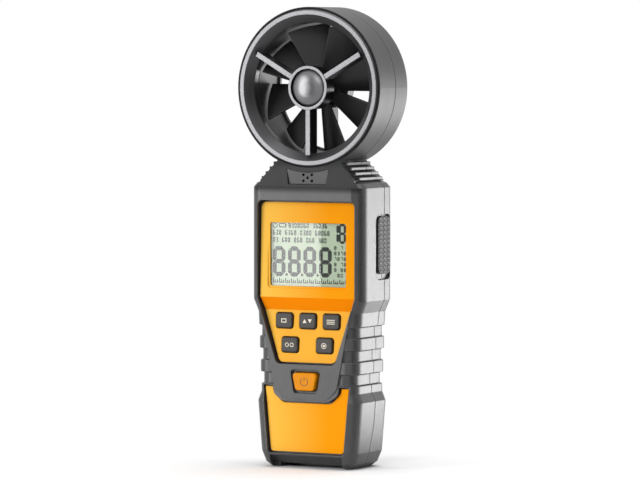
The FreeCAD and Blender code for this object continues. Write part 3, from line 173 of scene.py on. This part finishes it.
def moulded(name, color, rough, grain=0.12, edge=1.6, size=0.35, streak=(1, 1, 0.2),
            relief=0.012, spread=0.12, lay=None, **scalars):
    """Moulded plastic: fine grain, slow mottling, edges lighter as rubbed wear and as a painted
    highlight.

    In millimetres: grain is the size of the grain, relief its height and size the width of
    the lighter edges. edge is how many times lighter the edges are, partly rubbed wear and partly
    a painted highlight, spread how far the colour strays, streak how the grain is drawn out, and
    lay gives the places that the grain follows.
    """
    look = Look(name, **scalars)
    if lay:
        look.lay = lay(look)
    fine = look.noise(grain * MM, streak)
    slow = look.noise(14 * MM, detail=2.0)
    tone = look.math("ADD", look.math("MULTIPLY", fine, 0.6), look.math("MULTIPLY", slow, 0.4))
    base = look.mix(look.vary(tone), shade(color, 1 - spread), shade(color, 1 + spread))
    # Lighter edges: partly rubbed wear, partly a painted highlight along the edges.
    wear_and_highlight = look.math("MULTIPLY", look.edges(size * MM), look.ramp(slow, 0.3, 0.6, 0.5, 1.0))
    look.set("Base Color", look.mix(wear_and_highlight, base, shade(color, edge)))
    look.set("Roughness", look.vary(fine, rough - 0.05, rough + 0.05))
    look.relief(fine, relief * MM, size * MM)
    return look


GREY = (0.048, 0.048, 0.050)
ORANGE = (0.91, 0.32, 0.002)
# The next three colours are painted light: an amber highlight and a deeper orange shade for the
# orange panel, and a near black shade for the greys.
AMBER_HIGHLIGHT = (0.95, 0.56, 0.085)
ORANGE_SHADE = (0.90, 0.24, 0.001)
SHADE_DARK = (0.014, 0.014, 0.015)

# The ring's middle, its bore and the heights at which the colours change.
shaft_low, shaft_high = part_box("vane_shaft")
RING_Z = (shaft_low.z + shaft_high.z) / 2
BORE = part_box("vane_wheel")[1].x + 0.4 * MM
NECK_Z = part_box("front_guard")[0].z
KEYPAD_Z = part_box("key_upper_left")[1].z + 2 * MM
APRON_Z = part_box("lower_panel")[1].z + 5 * MM


def from_vane_axis(look):
    """Distance from the axis that the vane turns about."""
    x, _, z = look.axes()
    level = look.math("SUBTRACT", z, RING_Z)
    squares = look.math("ADD", look.math("MULTIPLY", x, x), look.math("MULTIPLY", level, level))
    return look.math("SQRT", squares)


def on_ring(look, most=1.0):
    """0 on the body and most on the ring."""
    _, _, z = look.axes()
    return look.ramp(z, NECK_Z - MM, NECK_Z + MM, 0.0, most)


def brushed(look):
    """Places along which the brushing runs: round the ring, upright on the body."""
    x, y, z = look.axes()
    ring = on_ring(look)
    change = look.math("SUBTRACT", from_vane_axis(look), x)
    across = look.math("MULTIPLY_ADD", ring, change, x)
    upright = look.math("MULTIPLY", look.math("SUBTRACT", 1.0, ring), 0.05)
    return look.add("CombineXYZ", X=across, Y=y,
                    Z=look.math("MULTIPLY", z, upright)).outputs[0]


def housing_look():
    """Satin grey plastic with streaks, with painted shade in the air duct and on the neck's
    front, where the neck is also less glossy.
    """
    look = moulded("grey_housing", GREY, 0.35, grain=0.3, edge=2.8, size=0.45,
                   streak=(1, 1, 1), spread=0.3, lay=brushed)
    # Painted shade: the duct inside the bore is laid over with near black.
    duct_shade = look.ramp(from_vane_axis(look), BORE + 1.2 * MM, BORE + 1.5 * MM, 0.75, 0.0)
    look.cover(duct_shade, SHADE_DARK)
    _, _, z = look.axes()
    # Painted shade on the neck's front, which is also given less gloss and no metal.
    front = look.ramp(look.facing("Y"), -0.6, -0.8)
    neck = look.ramp(z, NECK_Z - 12 * MM, NECK_Z - 10 * MM, 0.0, 0.8)
    dull_and_painted_shade = look.math("MULTIPLY", front, neck)
    look.cover(dull_and_painted_shade, SHADE_DARK)
    look.set("Specular IOR Level", look.ramp(dull_and_painted_shade, 0.0, 1.0, 0.5, 0.08))
    look.set("Metallic", look.ramp(dull_and_painted_shade, 0.0, 1.0, 0.12, 0.0))
    look.set("Roughness", look.math("ADD", on_ring(look, 0.16), look.fed("Roughness")))
    return look


def guard_look():
    """Bright satin grey on the faces, with painted shade on the bevel and nearly black painted
    shade round the bore.
    """
    look = moulded("grey_guard", shade(GREY, 4.6), 0.38, grain=0.3, edge=1.8, size=0.4,
                   streak=(1, 1, 1), spread=0.25, lay=brushed, Metallic=0.5)
    along = look.math("ABSOLUTE", look.facing("Y"))
    # Painted shade on the bevel, where the surface faces partly sideways.
    look.cover(look.ramp(along, 0.75, 0.90, 0.75, 0.0), SHADE_DARK)
    # Painted shade on the sideways faces round the bore.
    inner = look.ramp(from_vane_axis(look), BORE - 0.2 * MM, BORE + 0.6 * MM, 1.0, 0.0)
    sideways = look.ramp(along, 0.45, 0.75, 1.0, 0.0)
    look.cover(look.math("MULTIPLY", inner, sideways), SHADE_DARK)
    return look


def panel_look():
    """Smooth orange plastic, with a painted amber highlight towards the left and round the keys,
    and painted deeper orange shade where it slopes.
    """
    look = moulded("orange_panel", ORANGE, 0.20, grain=0.2, edge=1.12, spread=0.03,
                   relief=0.004, Specular_IOR_Level=0.02)
    x, _, z = look.axes()
    # Painted highlight: amber round the keypad and towards the left.
    keys = look.math("MULTIPLY", look.ramp(z, KEYPAD_Z, KEYPAD_Z - 2 * MM, 0.0, 0.5),
                     look.ramp(z, APRON_Z, APRON_Z + MM))
    left = look.ramp(x, 10 * MM, -24 * MM, 0.0, 0.9)
    look.cover(look.math("MAXIMUM", keys, left), AMBER_HIGHLIGHT)
    # Painted shade: deeper orange on faces that tilt downwards.
    look.cover(look.ramp(look.facing("Z"), -0.08, -0.25), ORANGE_SHADE)
    return look


def lens_look():
    """Clear flat lens: the light passes straight through, with a faint reflection."""
    look = Look("clear_lens")
    clear = look.add("BsdfTransparent", Color=(0.97, 0.985, 0.965, 1.0))
    smear = look.noise(6 * MM, (1, 1, 0.5))
    gloss = look.add("BsdfGlossy", Color=(1, 1, 1, 1), Roughness=look.vary(smear, 0.0, 0.03))
    strength = look.add("Fresnel", IOR=1.45).outputs[0]
    look.surface(look.blend(strength, clear.outputs[0], gloss.outputs[0]))
    return look


def display_look():
    """Pale green-grey display with a faint weave of its electrodes."""
    look = Look("display_face", Roughness=0.5)
    _, _, z = look.axes()
    pitch = 0.42 * MM
    lines = look.math("PINGPONG", look.math("DIVIDE", z, pitch), 1.0)
    slow = look.noise(9 * MM, detail=1.0)
    tone = look.math("ADD", look.math("MULTIPLY", lines, 0.25), look.math("MULTIPLY", slow, 0.75))
    look.set("Base Color", look.mix(tone, (0.62, 0.72, 0.57), (0.76, 0.84, 0.70)))
    look.relief(lines, 0.004 * MM)
    return look


def studded_look(low, high):
    """Soft pad with rows of small round studs between two corners."""
    look = Look("grip_rubber", Specular_IOR_Level=0.35)
    _, y, z = look.axes()
    columns, rows = 3, 13
    across = look.math("MULTIPLY", look.math("SUBTRACT", y, low.y), columns / (high.y - low.y))
    along = look.math("MULTIPLY", look.math("SUBTRACT", z, low.z), rows / (high.z - low.z))
    squares = []
    for count in (across, along):
        middle = look.math("SUBTRACT", look.math("FRACT", count), 0.5)
        squares.append(look.math("MULTIPLY", middle, middle))
    far = look.math("SQRT", look.math("ADD", *squares))
    stud = look.ramp(far, 0.18, 0.46, 1.0, 0.0)
    fine = look.noise(0.15 * MM)
    height = look.math("ADD", stud, look.math("MULTIPLY", fine, 0.12))
    # Studs lighter than the ground between them: painted shade between the studs.
    tone = look.math("ADD", look.math("MULTIPLY", stud, 0.8), look.math("MULTIPLY", fine, 0.3))
    look.set("Base Color", look.mix(tone, (0.03, 0.03, 0.032), (0.11, 0.11, 0.114)))
    look.set("Roughness", look.vary(fine, 0.48, 0.62))
    look.relief(height, 0.35 * MM, 0.3 * MM)
    return look


def turned_metal(name, color, rough):
    """Metal with fine turning marks."""
    look = Look(name, Metallic=1.0)
    marks = look.noise(0.12 * MM, (1, 0.1, 1))
    look.set("Base Color", look.mix(look.vary(marks), shade(color, 0.85), shade(color, 1.1)))
    look.set("Roughness", look.vary(marks, rough - 0.06, rough + 0.08))
    look.relief(marks, 0.01 * MM, 0.1 * MM)
    return look


LOOKS = {
    "grey_housing": housing_look(),
    "orange_panel": panel_look(),
    "orange_key": moulded("orange_key", shade(ORANGE, 0.8), 0.24, grain=0.2, edge=1.3,
                          spread=0.03, relief=0.004, Specular_IOR_Level=0.08),
    "clear_lens": lens_look(),
    "display_glass": display_look(),
    "backlight": moulded("backlight", (0.8, 0.82, 0.76), 0.4, spread=0.03),
    "rubber_strip": moulded("rubber_strip", (0.07, 0.07, 0.07), 0.7),
    "circuit_board": moulded("circuit_board", (0.02, 0.16, 0.06), 0.35, grain=1.2, spread=0.3),
    "chip_black": moulded("chip_black", (0.02, 0.02, 0.02), 0.5),
    "steel": turned_metal("steel", (0.30, 0.30, 0.31), 0.35),
    "grey_guard": guard_look(),
    "satin_cap": moulded("satin_cap", (0.17, 0.17, 0.175), 0.27, edge=1.2, size=1.3,
                         streak=(1, 1, 1), relief=0.004, Metallic=0.6),
    "bearing_brass": turned_metal("bearing_brass", (0.36, 0.24, 0.09), 0.42),
    # Blade edges fourteen times lighter: a painted highlight along them.
    "vane_black": moulded("vane_black", (0.009, 0.009, 0.010), 0.45, edge=14.0, size=0.25),
    "magnet": moulded("magnet", (0.05, 0.05, 0.05), 0.6),
    "vent_grey": moulded("vent_grey", shade(GREY, 0.8), 0.45, edge=2.0, size=0.2),
    "battery_case": moulded("battery_case", (0.03, 0.03, 0.035), 0.3),
    "key_black": moulded("key_black", (0.020, 0.017, 0.015), 0.48, grain=0.1, edge=2.0,
                         size=0.5, relief=0.008),
    "grip_rubber": studded_look(*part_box("right_grip")),
    "legend": moulded("legend", (0.80, 0.72, 0.58), 0.55, grain=0.3, spread=0.05, size=0.05),
    "segment": moulded("segment", (0.018, 0.020, 0.018), 0.5, grain=0.3, size=0.05),
    "symbol": moulded("symbol", (0.10, 0.045, 0.01), 0.5, grain=0.3, size=0.05),
}

for entry in frame["record"]["subparts"]:
    owner = nodes[entry["node"]]
    owner.data.materials.clear()
    owner.data.materials.append(LOOKS[entry["material_slot"]].material)


# ---------------------------------------------------------------- flat marks, in millimetres

def bar(x_low, x_high, z_low, z_high):
    """Upright rectangle."""
    return [(x_low, z_low), (x_high, z_low), (x_high, z_high), (x_low, z_high)]


def outline(x_low, x_high, z_low, z_high, stroke):
    """Four bars that frame a rectangle."""
    return [bar(x_low, x_high, z_low, z_low + stroke),
            bar(x_low, x_high, z_high - stroke, z_high),
            bar(x_low, x_low + stroke, z_low + stroke, z_high - stroke),
            bar(x_high - stroke, x_high, z_low + stroke, z_high - stroke)]


def cross(x, z, arm, width):
    """Two bars that cross, the upright one in two halves."""
    half = width / 2
    return [bar(x - arm, x + arm, z - half, z + half),
            bar(x - half, x + half, z + half, z + arm),
            bar(x - half, x + half, z - arm, z - half)]


def disc(x, z, radius, steps=28):
    """Round dot."""
    turns = [2 * math.pi * i / steps for i in range(steps)]
    return [(x + radius * math.cos(turn), z + radius * math.sin(turn)) for turn in turns]


def arc(x, z, radius, width, start=0, end=360, steps=20):
    """Strips along an arc, its angles in degrees."""
    turns = [math.radians(start + (end - start) * i / steps) for i in range(steps + 1)]
    inner, outer = ([(x + r * math.cos(turn), z + r * math.sin(turn)) for turn in turns]
                    for r in (radius - width / 2, radius + width / 2))
    return [[inner[i], outer[i], outer[i + 1], inner[i + 1]] for i in range(steps)]


SEGMENTS = {"0": "abcdef", "1": "bc", "3": "abgcd", "6": "afgedc", "7": "abc", "8": "abcdefg"}


def digit(sign, x, z, wide, tall, stroke):
    """Seven-segment number whose lower left corner is at x, z."""
    gap = stroke * 0.04
    half = stroke / 2
    left, right = x + half, x + wide - half
    low, middle, high = z + half, z + tall / 2, z + tall - half

    def level(height):
        start, end = left + gap, right - gap
        return [(start, height), (start + half, height - half), (end - half, height - half),
                (end, height), (end - half, height + half), (start + half, height + half)]

    def upright(side, foot, top):
        start, end = foot + gap, top - gap
        return [(side, start), (side + half, start + half), (side + half, end - half),
                (side, end), (side - half, end - half), (side - half, start + half)]

    shapes = {"a": level(high), "g": level(middle), "d": level(low),
              "b": upright(right, middle, high), "c": upright(right, low, middle),
              "f": upright(left, middle, high), "e": upright(left, low, middle)}
    return [shapes[letter] for letter in SEGMENTS[sign]]


def number(signs, x, z, wide, tall, stroke, pitch):
    """Several digits side by side; a blank leaves its place free."""
    shapes = []
    for i, sign in enumerate(signs):
        if sign != " ":
            shapes += digit(sign, x + i * pitch, z, wide, tall, stroke)
    return shapes


def mark(name, shapes, level, look, body, thick=0.03):
    """Thin marks on the face at y = level, raised towards the front.

    A negative thickness raises them towards the back.
    """
    mesh = bmesh.new()
    for shape in shapes:
        under, over = ([mesh.verts.new((x * MM, (level - out) * MM, z * MM)) for x, z in shape]
                       for out in (0.0, thick))
        mesh.faces.new(over)
        mesh.faces.new(list(reversed(under)))
        for i in range(len(shape)):
            after = (i + 1) % len(shape)
            mesh.faces.new([under[i], under[after], over[after], over[i]])
    bmesh.ops.recalc_face_normals(mesh, faces=mesh.faces)
    data = bpy.data.meshes.new(name)
    mesh.to_mesh(data)
    mesh.free()
    piece = bpy.data.objects.new(name, data)
    bpy.context.scene.collection.objects.link(piece)
    data.materials.append(LOOKS[look].material)
    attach(piece, body)


def display_marks():
    """Numbers, ticks and small signs on the display."""
    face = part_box("display_glass")[0].y / MM
    left = -18.4

    def show(name, shapes):
        mark(name, shapes, face, "segment", "housing")

    # Four large digits with a point between each two.
    big = []
    foot = 83.4
    for i, x in enumerate((left, -10.8, -3.1, 4.6)):
        big += digit("8", x, foot, wide=6.3, tall=13.2, stroke=1.9)
        if i:
            big.append(disc(x - 0.7, foot + 0.8, radius=0.6))
    show("display_digits", big)
    show("display_index", number("18", 10.6, 98.2, wide=3.8, tall=8.8, stroke=1.2, pitch=3.6))

    # Three rows of small digits, after a round sign and a battery sign.
    rows = []
    for z, x, signs in ((104.6, -10.6, "8308060 36036"), (101.4, left, "638 6368 0380 68068"),
                        (98.2, left, "83 688 868 068 380")):
        rows += number(signs, x, z, wide=1.25, tall=2.4, stroke=0.48, pitch=1.5)
    rows += arc(-17.2, 105.7, radius=1.0, width=0.36, start=120, end=420)
    rows.append(bar(-17.4, -17.0, 105.9, 107.2))
    rows += outline(-15.3, -11.9, 104.8, 106.7, stroke=0.4)
    rows.append(bar(-11.9, -11.5, 105.4, 106.1))
    show("display_rows", rows)

    # Small digits in a column at the right.
    column = []
    for i, signs in enumerate(("8 7", "8378", "7878", "8 78", "8 88", " 80")):
        z = 83.5 + 2.4 * (5 - i)
        column += number(signs, 12.0, z, wide=1.3, tall=1.75, stroke=0.42, pitch=1.6)
    show("display_column", column)

    # A scale along the lower edge, every third tick taller.
    ticks = []
    thin, base = 0.45, 80.6
    for i in range(37):
        x = -18.3 + i
        top = 82.6 if i % 3 == 0 else 81.9
        ticks.append(bar(x, x + thin, base, top))
        if i % 3 != 2:
            ticks.append(bar(x + thin, x + 1.0, base, base + 0.4))
    show("display_ticks", ticks)


def key_legends():
    """Plain pictograms on the keys, each drawn round the middle of its key."""
    arrows = [[(-2.3, -0.8), (-0.3, -0.8), (-1.3, 0.9)], [(0.3, 0.9), (1.3, -0.8), (2.3, 0.9)]]
    lines = [bar(-2.0, 2.0, z, z + 0.35) for z in (0.6, -0.2, -1.0)]
    rings = arc(-1.2, 0, radius=0.8, width=0.3) + arc(1.2, 0, radius=0.8, width=0.3)
    dot = [disc(0, 0, radius=0.55)] + arc(0, 0, radius=1.15, width=0.28)
    power = arc(0, 0, radius=1.75, width=0.32, start=125, end=415)
    power.append(bar(-0.17, 0.17, 0.2, 2.1))
    for key, name, look, shapes in (
            ("key_upper_left", "legend_bars", "legend", outline(-1.3, 1.3, -0.9, 0.9, 0.4)),
            ("key_upper_middle", "legend_arrows", "legend", arrows),
            ("key_upper_right", "legend_list", "legend", lines),
            ("key_lower_left", "legend_rings", "legend", rings),
            ("key_lower_right", "legend_dot", "legend", dot),
            ("power_key", "power_symbol", "symbol", power)):
        low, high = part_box(key)
        middle_x = (low.x + high.x) / 2 / MM
        middle_z = (low.z + high.z) / 2 / MM
        placed = [[(middle_x + x, middle_z + z) for x, z in shape] for shape in shapes]
        mark(name, placed, low.y / MM, look, key)


def screw_slot_shades():
    """Dark crosses on the heads of the screws in the back: painted shade standing for their cross
    slots.
    """
    head_radius, lower_x = 2.4, 18.2
    arm, width = 1.3, 0.55
    low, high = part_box("shell_screws")
    upper_x = high.x / MM - head_radius
    lower_z, upper_z = low.z / MM + head_radius, high.z / MM - head_radius
    slots = []
    for side in (-1, 1):
        slots += cross(side * lower_x, lower_z, arm, width)
        slots += cross(side * upper_x, upper_z, arm, width)
    mark("screw_slot_shades", slots, high.y / MM, "segment", "housing", thick=-0.03)
    low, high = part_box("cover_screw")
    slots = cross(0, (low.z + high.z) / 2 / MM, arm, width)
    mark("cover_screw_slot_shade", slots, high.y / MM, "segment", "cover", thick=-0.03)


# ---------------------------------------------------------------- stage, light, camera

def sheet(name, wide, tall):
    """Flat rectangle round its own middle."""
    mesh = bpy.data.meshes.new(name)
    half, rise = wide / 2, tall / 2
    mesh.from_pydata([(-half, -rise, 0), (half, -rise, 0), (half, rise, 0), (-half, rise, 0)],
                     [], [(0, 1, 2, 3)])
    piece = bpy.data.objects.new(name, mesh)
    bpy.context.scene.collection.objects.link(piece)
    return piece


def aim_at(item, place, aim):
    """Stand an item at a place and turn its -Z towards the aim."""
    item.location = place
    item.rotation_euler = (Vector(aim) - Vector(place)).to_track_quat("-Z", "Y").to_euler()


def floor():
    """Plain pale floor that keeps the shadow and turns clear further out."""
    piece = sheet("floor", wide=12.0, tall=12.0)
    piece.location.z = -0.2 * MM
    look = Look("floor_paper", Roughness=0.9, Specular_IOR_Level=0.0)
    fine = look.noise(0.4 * MM)
    look.set("Base Color", look.mix(fine, (0.90, 0.90, 0.90), (0.94, 0.94, 0.94)))
    far = look.add("VectorMath", {"operation": "LENGTH"})
    look.feed(far.inputs[0], look.place)
    fade = look.ramp(far.outputs["Value"], 0.05, 0.20)
    clear = look.add("BsdfTransparent")
    look.surface(look.blend(fade, look.shader.outputs[0], clear.outputs[0]))
    piece.data.materials.append(look.material)


def sky():
    """White to the camera and to reflections, a soft even light to everything else."""
    world = bpy.data.worlds.new("studio")
    world.use_nodes = True
    bpy.context.scene.world = world
    tree = world.node_tree
    tree.nodes.clear()
    path = tree.nodes.new("ShaderNodeLightPath")
    seen = path.outputs["Is Camera Ray"]
    for ray in ("Is Glossy Ray", "Is Transmission Ray"):
        either = tree.nodes.new("ShaderNodeMath")
        either.operation = "MAXIMUM"
        tree.links.new(seen, either.inputs[0])
        tree.links.new(path.outputs[ray], either.inputs[1])
        seen = either.outputs[0]
    both = tree.nodes.new("ShaderNodeMixShader")
    tree.links.new(seen, both.inputs[0])
    for socket, strength in ((both.inputs[1], 0.5), (both.inputs[2], 1.0)):
        light = tree.nodes.new("ShaderNodeBackground")
        light.inputs["Color"].default_value = (1, 1, 1, 1)
        light.inputs["Strength"].default_value = strength
        tree.links.new(light.outputs[0], socket)
    output = tree.nodes.new("ShaderNodeOutputWorld")
    tree.links.new(both.outputs[0], output.inputs["Surface"])


def lamp(name, place, aim, wide, tall, watts):
    """Soft rectangular lamp."""
    data = bpy.data.lights.new(name, "AREA")
    data.shape = "RECTANGLE"
    data.size = wide
    data.size_y = tall
    data.energy = watts
    item = bpy.data.objects.new(name, data)
    bpy.context.scene.collection.objects.link(item)
    aim_at(item, place, aim)


def flag(name, place, aim, wide, tall):
    """Black card beside the view that darkens reflections."""
    piece = sheet(name, wide, tall)
    aim_at(piece, place, aim)
    look = Look(name, Roughness=1.0, Specular_IOR_Level=0.0)
    weave = look.noise(3 * MM)
    look.set("Base Color", look.mix(weave, (0.010, 0.010, 0.010), (0.016, 0.016, 0.016)))
    piece.data.materials.append(look.material)
    piece.visible_camera = False


def studio():
    """Two black cards in front and four soft lamps round the object."""
    middle = (0, 0, 0.11)
    flag("front_flag", (-0.32, -1.0, 0.25), aim=(-0.32, 0, 0.25), wide=0.42, tall=0.9)
    flag("right_flag", (1.15, -0.55, 0.25), aim=middle, wide=0.8, tall=1.0)
    lamp("left_card", (-0.80, -1.0, 0.25), aim=middle, wide=0.50, tall=0.9, watts=10.0)
    lamp("front_fill", (0.3, -1.6, 1.0), aim=middle, wide=0.9, tall=0.7, watts=6.0)
    lamp("right_back", (0.62, 0.85, -0.10), aim=middle, wide=0.7, tall=0.5, watts=10.0)
    lamp("top", (0.1, 0.1, 1.2), aim=middle, wide=0.8, tall=0.8, watts=9.0)


def camera():
    """Long lens, to the right of the front and a little above."""
    data = bpy.data.cameras.new("camera")
    data.lens = 241.1
    data.sensor_width = 36.0
    item = bpy.data.objects.new("camera", data)
    bpy.context.scene.collection.objects.link(item)
    item.location = (0.89408, -1.64919, 0.18626)
    downward, turned = 2.66, 28.49
    item.rotation_euler = (math.radians(90 - downward), 0, math.radians(turned))
    bpy.context.scene.camera = item


display_marks()
key_legends()
screw_slot_shades()
floor()
sky()
studio()
camera()
bpy.context.scene.view_settings.view_transform = "Standard"
